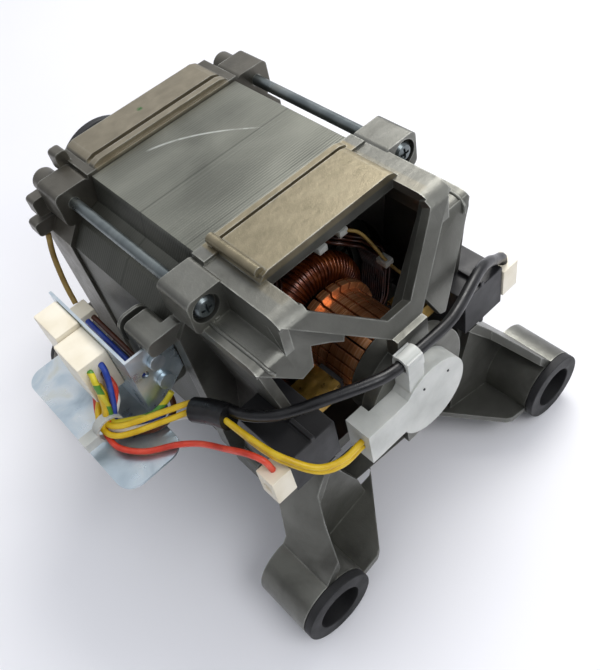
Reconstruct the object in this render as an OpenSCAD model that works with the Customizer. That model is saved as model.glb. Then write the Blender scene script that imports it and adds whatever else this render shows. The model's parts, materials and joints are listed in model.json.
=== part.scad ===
// Universal motor of a front-loading washing machine: laminated stator clamped
// between two die-cast end shields, four rubber-bushed feet, carbon brushes on a
// copper commutator, a tacho at the brush end and a poly-V pulley at the other.
// X is to the right seen from the brush end, Y runs along the shaft to the pulley,
// Z is up. The origin is the centre of the shaft's pulley-end face. The modules
// measure Y from the front of the rubber feet; placed() moves them to the origin.

/* [Shaft and bearings] */
// Distance from the front of the feet to the pulley end of the shaft
shaft_tip_y = 256; // [250:1:270]
// Distance from the front of the feet to the tacho end of the shaft
shaft_front_y = 12; // [11.6:0.1:13]
// Shaft radius in the bearings and the pulley
shaft_r = 6; // [5:0.5:7]
// Outside radius of both ball bearings
bearing_r = 16; // [15:0.5:17]
// Width of both ball bearings
bearing_w = 10; // [9:0.5:11]
// Balls in each bearing
ball_count = 8; // [6:1:9]

/* [Stator] */
// Front face of the lamination stack
core_front_y = 85.5; // [84:0.5:88]
// Length of the lamination stack
core_len = 73; // [70:0.5:78]
// Half width across the stator's sides
core_half_w = 60.5; // [59:0.5:63]
// Half height over the flat top and bottom
core_half_h = 64.9; // [64:0.1:67]
// Half width of the flat top
core_flat_half = 39.8; // [38:0.1:41]
// Radius of the stator bore
bore_r = 32.6; // [32.4:0.1:33]
// Outer radius of the slots for the field coils
slot_r = 49; // [47:0.5:51]

/* [Tie bolts] */
// Inset of a tie bolt from the stator's side
bolt_inset = 9; // [8:0.1:10]
// Drop of a tie bolt below the stator's flat top
bolt_drop = 6.5; // [6:0.1:7.5]
// Shank radius of a tie bolt
bolt_r = 2.5; // [2:0.1:3]
// Radius of the pan head
bolt_head_r = 4.75; // [4.2:0.05:5.2]
// Seat of the bolt heads in the front shield
bolt_seat_y = 70; // [68:0.5:72]

/* [Front shield] */
// Front of the bearing hub
hub_front_y = 18; // [17.5:0.5:19]
// Radius of the hub's front plate
hub_plate_r = 26; // [25:0.5:27]
// Half width of the top band and of the window under it
band_half = 32; // [31:0.5:33]
// Rise of the bands over the stator's flat top
band_rise = 3.6; // [3:0.1:5]
// Front edge of the top band
band_front_y = 54.5; // [53:0.5:56]
// Outside of the side rails
rail_x = 43; // [42.5:0.5:44]
// Front end of the side rails, where the sloping arms begin
rail_front_y = 36; // [35:0.5:37]
// Height of the lower end of the sloping arms
arm_low_z = 31; // [30:0.5:32]
// Top of the stepped ledges beside the rails
ledge_z = 50; // [49:0.5:51]
// Outer edge of the ledges
ledge_x = 56; // [55:0.5:57]
// Wall of the castings
cast_t = 4; // [3.5:0.5:4.5]

/* [Feet] */
// Distance of a foot axis from the centre plane
foot_x = 73.8; // [72:0.2:76]
// Depth of a foot axis below the shaft
foot_z = 68.3; // [67:0.1:70]
// Outside radius of a foot lug
lug_r = 17.5; // [17:0.25:18.5]
// Wall of a foot lug
lug_wall = 3; // [2.5:0.5:3.5]
// Length of a foot lug
lug_len = 27.5; // [26:0.5:29]
// Bore radius of the rubber bush
bush_bore_r = 10.6; // [9.5:0.1:11.5]
// Thickness of the bush flange
bush_flange_t = 4; // [3:0.5:5]
// Front end of the rear foot lugs
rear_lug_y = 186; // [184:0.5:188]

/* [Rear shield] */
// Depth of the rear shield behind the stator, without the hub
rear_depth = 24; // [22:0.5:25]
// Half width of the rear band
rear_band_half = 36; // [35:0.5:37]
// Place of the rear hub's back between the stator and the shaft end
rear_hub_share = 0.508; // [0.48:0.004:0.52]
// Outside radius of both bearing hubs
hub_r = 21; // [20:0.5:22]

/* [Rotor] */
// Rotor radius
rotor_r = 32; // [31.8:0.1:32.2]
// Slots in the rotor
rotor_slots = 24; // [16:1:24]
// Length of the rotor stack
rotor_len = 68; // [66:1:70]
// Commutator radius
comm_r = 19; // [18:0.5:19.5]
// Front end of the commutator bars
comm_front_y = 36; // [35:0.5:37]
// Length of the commutator bars
comm_len = 32; // [31:0.5:33]
// Bars on the commutator
bar_count = 24; // [16:1:28]

/* [Windings] */
// Thickness of the field coil strand
coil_d = 2.8; // [2.4:0.1:2.9]
// Turns shown on each field coil, in two layers
coil_turns = 8; // [4:2:8]
// Thickness of the armature strand
arm_wire_d = 2.6; // [2:0.1:2.7]
// Curls of the armature's end winding
arm_curls = 24; // [18:1:24]

/* [Brush gear] */
// Middle of the brushes along the shaft
brush_y = 47; // [46:0.5:48]
// Axial width of a brush
brush_w = 12.5; // [11.5:0.1:13]
// Tangential thickness of a brush
brush_t = 6.3; // [5.5:0.1:7]
// Length of a brush
brush_len = 24; // [22:0.5:25]
// Outer end of the brush holders
holder_out_x = 62; // [61.5:0.5:63]
// Front of the brush holders
holder_front_y = 25; // [24.5:0.5:26]
// Half height of the brush holders
holder_half_z = 11; // [10.5:0.5:11.5]

/* [Tacho] */
// Radius of the tacho cover
tacho_r = 17.9; // [17.5:0.1:18.5]
// Front face of the tacho cover
tacho_front_y = 9.7; // [9.5:0.1:9.9]
// Wall of the tacho cover
tacho_wall = 1.5; // [1.2:0.1:1.6]
// Reach of the cover's wire box to the side
tacho_box_x = 35; // [33:0.5:37]

/* [Pulley] */
// Radius over the ribs of the pulley
pulley_r = 28; // [26:0.5:30]
// Width of the pulley
pulley_w = 26; // [24:0.5:27]
// Ribs of the pulley
rib_count = 8; // [6:1:9]

/* [Bracket and connector] */
// Distance of the bracket's web from the centre plane
web_x = 81.4; // [81:0.2:83]
// Sheet thickness of the bracket
sheet_t = 1.2; // [1:0.1:1.5]
// Front flange of the bracket
flange_y = 87.3; // [87:0.1:87.8]
// Height of the bracket's top edge
web_top_z = 39; // [38:0.5:39.2]
// Rear end of the bracket's web
web_rear_y = 145; // [143:1:148]
// Reach of the drip plate to the side
plate_x = 111; // [109:0.5:113]

/* [Wiring] */
// Thickness of the insulated wires
wire_d = 2.6; // [2:0.1:2.8]
// Thickness of the sleeved brush cable
cable_d = 4.7; // [4:0.1:5]

/* [Hidden] */
$fn = 64;

// Clearances: press fits, running fits, screw holes, and soft seats
press_gap = 0.02;
seat_gap = 0.3;
screw_gap = 0.15;
slide_gap = 0.15;
eps = 0.01;

// Stator
core_rear_y = core_front_y + core_len;
core_mid_y = core_front_y + core_len / 2;
notch_x = core_flat_half + 2.2;
notch_top_z = core_half_h - 12;
notch_low_z = core_half_h - 16;
notch_out_x = core_half_w - 7.5;
chamfer_z = core_half_h - 25;
slot_half_angle = 42;

// Shields
bolt_x = core_half_w - bolt_inset;
bolt_z = core_half_h - bolt_drop;
band_z = core_half_h + band_rise;
rail_z = core_half_h + 0.1;
rear_hub_y = core_rear_y + (shaft_tip_y - core_rear_y) * rear_hub_share;
rim_t = 7.5;
rim_front_y = core_front_y - rim_t;
rim_grow = 1.5;
rim_bore_r = 45;
corner_wall = 7.2;
corner_round = 3;
rear_tabs = [[[-46, 62], [-40, 72]], [[-64, 50], [-54, 59]], [[-68, 41.5], [-57, 48.5]]];
bolt_hole_r = bolt_r + screw_gap;
arm_low_y = hub_front_y;
arm_tilt = atan((rail_front_y - arm_low_y) / (rail_z - arm_low_z));
arm_len = (rail_z - arm_low_z) / cos(arm_tilt);
arm_t = 5;
arm_out_half = rail_x - 0.3;
arm_in_half = band_half - 1;
tip_half = 4;
arm_sink = 0.4;
step_depth = 8.8;
ledge_t = 3.5;
shaft_hole_r = shaft_r + 3;
front_bearing_y = hub_front_y + 6;
hub_rear_y = front_bearing_y + bearing_w + 0.5;
rear_bearing_y = rear_hub_y - 6 - bearing_w;
rear_wall_y = core_rear_y + rear_depth;
rear_wall_t = 5;
side_x = ledge_x - 9;
flange_low_z = 6.5;
ear_x = 74;
ear_low_z = web_top_z + 0.6;
ear_top_z = web_top_z + 8;
ear_back_y = flange_y + sheet_t + 8;

// Feet
lug_front_y = bush_flange_t;
lug_bore_r = lug_r - lug_wall;
web_t = 4;
flange_t = 3.5;

// Rotor
rotor_front_y = core_mid_y - rotor_len / 2;
rotor_rear_y = core_mid_y + rotor_len / 2;
core_seat_r = shaft_r + 1;
stub_len = 4;
groove_w = 1;
comm_rear_y = comm_front_y + comm_len;
bar_in_r = comm_r - 5;
bar_gap_deg = 2.4;
riser_r = comm_r + 3;
riser_len = 4;
end_wind_r = 20;
end_wind_a = 7.5;
end_wind_b = 6.5;

// Brush gear
guide_wall = 0.8;
guide_in_x = comm_r + 2.5;
brush_in_x = comm_r + seat_gap;
brush_out_x = brush_in_x + brush_len;
holder_in_x = side_x - 9;
holder_rear_y = brush_y + brush_w / 2 + 4.5;
holder_cap = 2;
guide_half_y = brush_w / 2 + slide_gap;
guide_half_z = brush_t / 2 + slide_gap;
spring_r = 2.2;
spring_d = 0.8;
spring_curls = 6;
terminal_y = 29;
terminal_half = 4.8;
terminal_top_z = 8;
terminal_low_z = -7;

// Tacho
tacho_cavity_y = tacho_front_y + tacho_wall;
magnet_len = 5.5;
magnet_r = 9.5;
box_top_z = 11.5;
box_low_z = -7;
clip_x = -7.5;
clip_y = 14;
clip_z = 28.5;

// Bracket
plate_front_y = 68;
plate_rear_y = 152;
plate_corner_r = 8;
screw_r = 2;
screw_head_r = 3.6;
screw_x = 71.5;
screw_z_list = [18.2, 30.7];
tie_r = 6.5;
sleeve_r = 5.2;

// Wire routes, chosen along the photographed harness
tie_at = [-99, 95, 7.2];
route_yellow_a = [[-90, 105.5, 17.7], [-90.5, 105, 14], [-95.5, 100, 12.3], [-99, 95, 9.8], [-95, 88, 10.5],
                  [-79, 78.8, 11.8], [-70, 72, 13.9], [-67.6, 63, 15.2], [-67, 54, 16.4], [-65, 35, 16.3],
                  [-62.5, 25, 15.6], [-55.5, 16.5, 9.5], [-46, 13.5, 6], [-35.2, 14, 5]];
route_yellow_b = [[-93.4, 105.5, 17.7], [-93.8, 105, 14], [-99, 100, 11.6], [-101.5, 95, 8.4], [-98, 87,
        7.5],
                  [-80, 77, 8.6], [-70.5, 70.5, 11], [-67.4, 63, 12], [-66.2, 54, 13.4], [-64.8, 35, 13.2],
                  [-62.3, 25, 12.6], [-55.3, 16.5, 6.5], [-46, 13.5, 3], [-35.2, 14, 2]];
route_white = [[-90, 110, 17.7], [-90.5, 109, 14], [-95.5, 102.5, 9], [-99, 95, 7], [-94, 88.5, 6],
               [-87, 83.2, 5.5], [-79, 79, 5.8], [-72, 71.5, 7.3], [-69.8, 65, 9.6]];
route_red = [[-93.4, 110, 17.7], [-93.8, 109, 14], [-99, 102.5, 8.2], [-101.4, 95, 5.6], [-101.5, 86, 3.8],
             [-95, 77, 2.6], [-84, 69.5, 2.2], [-77.5, 62, 3], [-73.5, 50, 8], [-70.3, 38, 14], [-68,
                     31, 14],
             [-66.8, 29, 8]];
route_blue = [[-86.5, 110, 17.7], [-87, 109, 14], [-92, 102, 8], [-96.6, 95, 5.6], [-91, 90, 4],
              [-85, 85.6, 2.6], [-79.5, 85.6, 2.5], [-76, 90, 2.5], [-74, 100, 2.5], [-73.5, 125, 3],
                      [-73.5, 153, 5]];
route_brown = [[-90, 114.5, 17.7], [-90.5, 113, 14], [-95.5, 104.5, 6], [-99, 95, 4.2], [-93, 88.5, 2],
               [-86, 83, 1.9], [-79, 82.3, 1.9], [-73.5, 86.5, 1.9], [-70.8, 98, 2], [-70.2, 125, 3],
                       [-70.2, 153, 5]];
route_earth = [[-86.5, 105.5, 17.7], [-87, 105, 14], [-92, 99.5, 11.4], [-96.6, 95, 8.2], [-91, 89.5, 8.2],
               [-84, 84.6, 8.8], [-77.5, 83.9, 10], [-72.5, 83.4, 13.4]];
route_lead = [[-64, 176, 40], [-67, 176, 28], [-70, 171, 16], [-72, 164, 8]];
route_sleeve = [[-70.8, 71, 11], [-67.3, 63, 13.2], [-65, 54, 16]];
route_cable = [[-63.8, 60, 16.4], [-61, 48, 19], [-55.5, 36, 24.5], [-48.5, 28.5, 28.5], [-41, 23.5, 30.5],
               [-24, 15.5, 30.5], [-15, 14, 29], [-7.5, 14, 28.5], [12, 14, 28], [22, 15.5, 28], [42,
                       22, 27],
               [52, 25, 22.5], [60, 27.5, 15.5], [66, 29, 11], [66.8, 29, 8]];

function unit(v) = v / norm(v);
function tangent(p, i) =
    unit(p[min(i + 1, len(p) - 1)] - p[max(i - 1, 0)]);

// One ring of a swept tube, square to the route
function tube_ring(p, t, ref, r, n) =
    let (a = unit(cross(t, ref)), b = cross(a, t))
    [for (i = [0:n - 1]) p + r * (cos(360 * i / n) * a + sin(360 * i / n) * b)];

// Closed tube along points p, with one reference direction for each point
module swept_tube(p, refs, r, n) {
    last = len(p) - 1;
    rings = [for (i = [0:last]) each tube_ring(p[i], tangent(p, i), refs[i], r, n)];
    sides = [for (i = [0:last - 1], j = [0:n - 1])
        let (a = i * n + j, b = i * n + (j + 1) % n)
        each [[a, b, a + n], [b, b + n, a + n]]];
    caps = [for (j = [1:n - 2]) each [[0, j + 1, j], [last * n, last * n + j, last * n + j + 1]]];
    polyhedron(points = rings, faces = concat(sides, caps), convexity = 10);
}

// Reference directions carried along a route without twist, starting from ref
function carried(p, i, ref) =
    i == len(p) ? []
    : let (t = tangent(p, i), next = unit(ref - (ref * t) * t))
      concat([next], carried(p, i + 1, next));

// Wire or cable along a hand-chosen route
module cord(route, d, shade) {
    color(shade)
        placed()
            swept_tube(route, carried(route, 0, [1, 0, 0]), d / 2, 8);
}

// Least distance between points of a wound strand that lie more than a turn's part apart
function strand_gap(p, skip, d) =
    min([for (i = [0:len(p) - 1], j = [i + skip:1:len(p) - 1]) norm(p[i] - p[j])]) - d;

// Moves from the front of the feet to the shaft's pulley end
module placed() {
    translate([0, -shaft_tip_y, 0])
        children();
}

// Extrudes a front-view outline from y0 to y1
module along_y(y0, y1) {
    translate([0, y1, 0])
        rotate([90, 0, 0])
            linear_extrude(y1 - y0)
                children();
}

// Extrudes a side-view outline from x0 to x1
module along_x(x0, x1) {
    translate([x0, 0, 0])
        rotate([90, 0, 90])
            linear_extrude(x1 - x0)
                children();
}

// Round rod along the shaft direction
module rod_y(r, y0, y1) {
    translate([0, y0, 0])
        rotate([-90, 0, 0])
            cylinder(r = r, h = y1 - y0);
}

module ring_y(r_out, r_in, y0, y1) {
    difference() {
        rod_y(r_out, y0, y1);
        rod_y(r_in, y0 - 1, y1 + 1);
    }
}

module block(low, high) {
    translate(low)
        cube(high - low);
}

module both_sides() {
    children();
    mirror([1, 0, 0])
        children();
}

module top_and_bottom() {
    children();
    mirror([0, 0, 1])
        children();
}

// Places its children at the four tie bolts
module at_bolts() {
    for (sx = [-1, 1], sz = [-1, 1])
        translate([sx * bolt_x, 0, sz * bolt_z])
            children();
}

// Corner of the stator outline, grown by g
function quarter(g) = [[core_flat_half + g, core_half_h + g], [notch_x + g, notch_top_z + g],
                       [notch_out_x + g, notch_low_z + g], [core_half_w + g, chamfer_z + g]];
function flipped(p, sx, sz) = [for (q = p) [sx * q[0], sz * q[1]]];
function turned(p) = [for (i = [len(p) - 1:-1:0]) p[i]];
function core_outline(g) = concat(quarter(g), turned(flipped(quarter(g), 1, -1)),
                                  flipped(quarter(g), -1, -1), turned(flipped(quarter(g), -1, 1)));

// Wedge of a circle, centred on the vertical
module sector(r, half_angle) {
    polygon([[0, 0], [-r * tan(half_angle), r], [r * tan(half_angle), r]]);
}

module stator_core() {
    color("dimgray")
        placed()
            difference() {
                along_y(core_front_y, core_rear_y)
                    difference() {
                        polygon(core_outline(0));
                        circle(bore_r);
                        for (s = [1, -1])
                            scale([1, s])
                                intersection() {
                                    circle(slot_r);
                                    sector(slot_r, slot_half_angle);
                                }
                    }
                at_bolts()
                    rod_y(bolt_hole_r, core_front_y - 1, core_rear_y + 1);
            }
}

// Field coil: a flat racetrack spiral bent round the rotor, one layer out and one back
coil_step = coil_d + 0.7;
coil_first_r = bore_r + coil_d / 2 + 2.6;
coil_half_arc = (90 - slot_half_angle) * PI / 180 * coil_first_r + coil_d / 2 + 0.8;
coil_half_len = core_len / 2 + coil_d / 2 + seat_gap;
coil_corner = 3;
coil_points = 24;
function coil_grow(t) = coil_step * min(t, coil_turns - t);
function coil_layer(t) = coil_first_r + coil_step * min(1, max(0, (t - coil_turns / 2 + 0.25) * 2));
function corner_point(a, b, c, sx, sy, deg) = [sx * (a - c) + c * cos(deg), sy * (b - c) + c * sin(deg)];
function race_point(k, a, b, c) =
    k < 4 ? corner_point(a, b, c, 1, 1, 30 * k)
    : k < 7 ? [(a - c) * (5 - k) / 2, b]
    : k < 11 ? corner_point(a, b, c, -1, 1, 90 + 30 * (k - 7))
    : k == 11 ? [-a, 0]
    : k < 16 ? corner_point(a, b, c, -1, -1, 180 + 30 * (k - 12))
    : k < 19 ? [(a - c) * (k - 17) / 2, -b]
    : k < 23 ? corner_point(a, b, c, 1, -1, 270 + 30 * (k - 19))
    : [a, 0];
function coil_point(i) =
    let (t = i / coil_points, g = coil_grow(t), r = coil_layer(t),
         q = race_point(i % coil_points, coil_half_arc + g, coil_half_len + g, coil_corner + g),
         deg = q[0] / coil_first_r * 180 / PI)
    [r * cos(deg), core_mid_y + q[1], r * sin(deg)];
coil_route = [for (i = [0:coil_points * coil_turns]) coil_point(i)];
coil_refs = [for (q = coil_route) unit([q[0], 0, q[2]])];
echo(field_coil_gap = strand_gap(coil_route, 6, coil_d));

module field_coil() {
    color("saddlebrown")
        placed()
            swept_tube(coil_route, coil_refs, coil_d / 2, 6);
}

module field_coil_right() {
    field_coil();
}

module field_coil_left() {
    mirror([1, 0, 0])
        field_coil();
}

// Slender foot arm of channel section with its lug, on the right side
module foot_arm(y_front, y_back, web_y, deep_y) {
    top_line = [[side_x - 1, -12], [foot_x + 1, -foot_z + lug_r - 0.5]];
    low_line = [[18, -rail_z + 2.5], [foot_x - 8, -foot_z - 8.2]];
    faces_front = y_front < deep_y;
    y_end = faces_front ? y_front : y_back;
    y_in = faces_front ? y_back : y_front;
    toward = faces_front ? 1 : -1;
    y_curve = y_end + 8 * toward;
    difference() {
        union() {
            along_y(web_y, web_y + web_t)
                polygon([top_line[0], top_line[1], [foot_x, -foot_z], low_line[1], low_line[0] + [11, -3.2],
                         low_line[0] + [14, 14]]);
            intersection() {
                along_y(min(y_front, deep_y), max(y_back, deep_y))
                    polygon([top_line[0], top_line[1], top_line[1] - [4.5, 0], top_line[0] - [5, 1]]);
                linear_extrude(300, center = true)
                    polygon([[side_x - 8, y_curve + 14 * toward], [side_x + 8, y_curve + 12 * toward],
                             [side_x + 13, y_curve + 4 * toward], [foot_x - 8, y_end], [foot_x + lug_r,
                                     y_end],
                             [foot_x + lug_r, y_in], [foot_x - 2, y_in], [side_x - 8, deep_y]]);
            }
            intersection() {
                along_y(min(y_front, deep_y), max(y_back, deep_y))
                    polygon([low_line[0], low_line[1], low_line[1] + [0, flange_t], low_line[0] + [0,
                            flange_t]]);
                linear_extrude(300, center = true)
                    polygon([[18, web_y + 8 * toward], [44, y_end + 1.5 * toward], [47, y_end], [foot_x,
                            y_end],
                             [foot_x, y_in], [30, deep_y], [30, web_y + 12 * toward], [18,
                                     web_y + 12 * toward]]);
            }
            translate([foot_x, 0, -foot_z])
                rod_y(lug_r, y_front, y_back);
        }
        translate([foot_x, 0, -foot_z])
            rod_y(lug_bore_r, y_front - 1, y_back + 1);
    }
}

// Leans an outline back along the sloping arms, from depth top to depth low under their face
module on_slope(top, low) {
    translate([0, arm_low_y + arm_sink, arm_low_z - arm_sink])
        rotate([90 - arm_tilt, 0, 0])
            translate([0, 0, -low])
                linear_extrude(low - top)
                    children();
}

// Outline of the V-shaped arms, drawn in by g
module arm_outline(g) {
    polygon([[-tip_half + g, 1 + 1.5 * g], [tip_half - g, 1 + 1.5 * g], [arm_out_half - g, arm_len - 1.5],
             [arm_out_half - g, arm_len], [-arm_out_half + g, arm_len], [-arm_out_half + g,
                     arm_len - 1.5]]);
}

// Sloping arms of the front shield with their skirt and the ledges under them
module front_arms() {
    on_slope(0, arm_t)
        difference() {
            arm_outline(0);
            polygon([[-6, 12], [6, 12], [arm_in_half, arm_len - 3], [arm_in_half, arm_len + 1],
                     [-arm_in_half, arm_len + 1], [-arm_in_half, arm_len - 3]]);
        }
    on_slope(arm_t - eps, step_depth + ledge_t)
        difference() {
            arm_outline(0);
            arm_outline(3);
            translate([-arm_in_half, arm_len - 6])
                square([2 * arm_in_half, 10]);
        }
    on_slope(step_depth, step_depth + ledge_t)
        both_sides()
            polygon([[arm_out_half - 5, arm_len - 2], [ledge_x, arm_len - 2], [ledge_x, 24.5], [42, 12],
                     [36, 13],
                     [33, 20], [26, 16], [21, 12.5], [18, 16.5]]);
}

// One side of the front shield's upper half: rail, step wall and ledge
module front_corner() {
    block([band_half, rail_front_y, rail_z - cast_t], [rail_x, rim_front_y + eps, rail_z]);
    block([rail_x - cast_t, rail_front_y + 1, ledge_z - cast_t], [rail_x, rim_front_y + eps, rail_z]);
    block([rail_x - cast_t, rail_front_y + 2, ledge_z - cast_t], [ledge_x, rim_front_y + eps, ledge_z]);
    block([rail_x + 5, rail_front_y + 4, ledge_z - eps], [rail_x + 7, bolt_seat_y, ledge_z + 1.2]);
    along_y(rail_front_y + 2, rim_front_y + eps)
        polygon([[ledge_x - cast_t, ledge_z], [ledge_x, ledge_z], [side_x, 0], [side_x - cast_t, 0]]);
}

// Rounded block that holds a tie bolt, at each corner
module at_corners(y0, y1) {
    both_sides()
        top_and_bottom()
            along_y(y0, y1)
                rounded([rail_x - 2, ledge_z - 1], [bolt_x + corner_wall, bolt_z + corner_wall],
                        corner_round);
}

// Top band seen from the front, with sloping shoulders
module band_outline(half, shoulder) {
    polygon([[-half - shoulder, rail_z - cast_t], [-half - shoulder, rail_z - shoulder / 2], [-half,
            band_z - 1],
             [-half + 3, band_z], [half - 3, band_z], [half, band_z - 1], [half + shoulder,
                     rail_z - shoulder / 2],
             [half + shoulder, rail_z - cast_t]]);
}

module front_shield() {
    color("silver")
        placed()
            difference() {
                union() {
                    along_y(rim_front_y, core_front_y)
                        polygon(core_outline(rim_grow));
                    at_corners(bolt_seat_y - 3, core_front_y);
                    top_and_bottom() {
                        both_sides()
                            front_corner();
                        front_arms();
                        along_y(band_front_y, rim_front_y + 2)
                            band_outline(band_half + 1, 3);
                        along_y(rim_front_y + 3.5, core_front_y - 1)
                            band_outline(band_half + 2, 3);
                    }
                    translate([-band_half - 1, 0, band_z])
                        rod_y(2.2, band_front_y + 1.5, rim_front_y + 6);
                    rod_y(hub_plate_r, hub_front_y, hub_front_y + 6);
                    block([-8, hub_front_y, -arm_low_z - 4], [8, hub_front_y + 6, arm_low_z + 4]);
                    rod_y(hub_r, hub_front_y, hub_rear_y);
                    both_sides()
                        foot_arm(lug_front_y, lug_front_y + lug_len, lug_front_y + lug_len - web_t,
                                 rim_front_y);
                    along_y(rim_front_y + 2, core_front_y)
                        rounded([-ear_x, ear_low_z], [-core_half_w + 4, ear_top_z], 3);
                    along_y(core_front_y - eps, ear_back_y)
                        rounded([-ear_x, ear_low_z], [-core_half_w - 0.7, ear_top_z], 3);
                    along_y(flange_y + sheet_t, ear_back_y)
                        rounded([-ear_x, 10], [-core_half_w - 0.7, ear_top_z], 3);
                    along_y(ear_back_y + 1.6, ear_back_y + 3.2)
                        rounded([-ear_x - 1, ear_low_z - 5], [-core_half_w - 0.7, ear_top_z + 1.5], 5);
                    block([-core_half_w - 4, ear_back_y - eps, ear_low_z - 3],
                          [-core_half_w - 1, ear_back_y + 2, ear_top_z - 3]);
                }
                rod_y(rim_bore_r, rail_front_y + 6.5, core_front_y + 1);
                block([-hub_plate_r, 0, -arm_low_z - 4], [hub_plate_r, hub_front_y, arm_low_z + 4]);
                rod_y(bearing_r + press_gap, front_bearing_y, hub_rear_y + 1);
                rod_y(shaft_hole_r, hub_front_y - 1, hub_rear_y);
                at_bolts() {
                    rod_y(bolt_hole_r, bolt_seat_y - 1, core_front_y + 1);
                    rod_y(bolt_head_r + 1.2, bolt_seat_y - 12, bolt_seat_y);
                }
                both_sides()
                    block([side_x - 12, holder_front_y - 4, -holder_half_z - seat_gap],
                          [ledge_x + 2, holder_rear_y + seat_gap, holder_half_z + seat_gap]);
                for (z = screw_z_list)
                    translate([-screw_x, 0, z])
                        rod_y(screw_r + press_gap, flange_y - 1, ear_back_y + 1);
            }
}

module rear_shield() {
    color("darkgray")
        placed()
            difference() {
                union() {
                    along_y(core_rear_y, rear_wall_y)
                        polygon(core_outline(rim_grow));
                    along_y(rear_wall_y - eps, rear_wall_y + rear_wall_t)
                        polygon(core_outline(-5));
                    at_corners(core_rear_y, rear_wall_y - 8);
                    at_bolts()
                        rod_y(bolt_r + 3, core_rear_y, rear_wall_y + 2);
                    top_and_bottom() {
                        along_y(core_rear_y + 1.5, core_rear_y + 5)
                            band_outline(rear_band_half, 8);
                        along_y(core_rear_y + 7.5, rear_wall_y)
                            band_outline(rear_band_half, 8);
                    }
                    for (q = rear_tabs)
                        along_y(rear_wall_y - 8.5, rear_wall_y - 2)
                            rounded(q[0], q[1], 2);
                    rod_y(hub_r, rear_wall_y, rear_hub_y);
                    for (a = [0:90:270])
                        rotate([0, a, 0])
                            along_x(-2.5, 2.5)
                                polygon([[rear_wall_y, hub_r - 2], [rear_hub_y - 4, hub_r - 2],
                                         [rear_wall_y + rear_wall_t, 52], [rear_wall_y, 52]]);
                    both_sides()
                        foot_arm(rear_lug_y, rear_lug_y + lug_len, rear_lug_y, core_rear_y + 2);
                }
                rod_y(rim_bore_r, core_rear_y - 1, rear_wall_y);
                rod_y(bearing_r + press_gap, rear_wall_y - 5, rear_bearing_y + bearing_w);
                rod_y(shaft_hole_r, rear_wall_y, rear_hub_y + 1);
                at_bolts()
                    rod_y(bolt_r + press_gap, core_rear_y - 1, rear_wall_y + 6);
                for (a = [45:90:315])
                    along_y(rear_wall_y - 5, rear_wall_y + rear_wall_t + 1)
                        rotate(a)
                            intersection() {
                                difference() {
                                    circle(rim_bore_r - 1);
                                    circle(hub_r + 5);
                                }
                                sector(60, 30);
                            }
            }
}

// Pan-head tie bolts with a cross recess
module tie_bolts() {
    color("lightsteelblue")
        placed()
            at_bolts()
                difference() {
                    union() {
                        rod_y(bolt_r, bolt_seat_y - 1, rear_wall_y + 5);
                        translate([0, bolt_seat_y, 0])
                            rotate([90, 0, 0])
                                rotate_extrude()
                                    polygon([[0, 0], [bolt_head_r, 0], [bolt_head_r, 1.6],
                                             [bolt_head_r - 1.2, 3.1], [0, 3.6]]);
                    }
                    for (a = [0, 90])
                        rotate([0, a, 0])
                            block([-2.4, bolt_seat_y - 5, -0.55], [2.4, bolt_seat_y - 1.8, 0.55]);
                }
}

// Rubber bush with its flange at y_flange, the sleeve reaching into the lug
module foot_bush(sx, front) {
    lug_y = front ? lug_front_y : rear_lug_y;
    flange_y0 = front ? 0 : rear_lug_y + lug_len;
    color("black")
        placed()
            translate([sx * foot_x, 0, -foot_z])
                difference() {
                    union() {
                        rod_y(lug_r - 0.1, flange_y0, flange_y0 + bush_flange_t);
                        rod_y(lug_bore_r - press_gap, lug_y - eps, lug_y + lug_len + eps);
                    }
                    rod_y(bush_bore_r, -1, rear_lug_y + lug_len + bush_flange_t + 1);
                }
}

module foot_bush_front_left() { foot_bush(-1, true); }
module foot_bush_front_right() { foot_bush(1, true); }
module foot_bush_rear_left() { foot_bush(-1, false); }
module foot_bush_rear_right() { foot_bush(1, false); }

// Ball bearing, split into the ring that stands still and the ring that turns
ball_r = (bearing_r - shaft_r) * 0.3;
ball_track_r = (bearing_r + shaft_r) / 2;
race_gap = 0.05;

module bearing_outer(y) {
    color("slategray")
        placed()
            translate([0, y, 0])
                difference() {
                    ring_y(bearing_r, ball_track_r + ball_r * 0.6, 0, bearing_w);
                    translate([0, bearing_w / 2, 0])
                        rotate([90, 0, 0])
                            rotate_extrude()
                                translate([ball_track_r, 0])
                                    circle(ball_r + race_gap);
                }
}

module bearing_inner(y) {
    color("lightslategray")
        placed()
            translate([0, y, 0]) {
                difference() {
                    ring_y(ball_track_r - ball_r * 0.6, shaft_r + press_gap, 0, bearing_w);
                    translate([0, bearing_w / 2, 0])
                        rotate([90, 0, 0])
                            rotate_extrude()
                                translate([ball_track_r, 0])
                                    circle(ball_r + race_gap);
                }
                for (i = [0:ball_count - 1])
                    rotate([0, 360 / ball_count * i, 0])
                        translate([ball_track_r, bearing_w / 2, 0])
                            sphere(ball_r);
            }
}

module front_bearing_outer() { bearing_outer(front_bearing_y); }
module rear_bearing_outer() { bearing_outer(rear_bearing_y); }
module front_bearing_inner() { bearing_inner(front_bearing_y); }
module rear_bearing_inner() { bearing_inner(rear_bearing_y); }

module rotor_shaft() {
    color("lightgray")
        placed() {
            rod_y(shaft_r, shaft_front_y, shaft_tip_y - stub_len - groove_w);
            rod_y(shaft_r - 0.5, shaft_tip_y - stub_len - groove_w - 1, shaft_tip_y - 1);
            rod_y(shaft_r, shaft_tip_y - stub_len, shaft_tip_y);
            ring_y(core_seat_r, shaft_r - 1, comm_rear_y + 2, rear_bearing_y - 1);
        }
}

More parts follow.
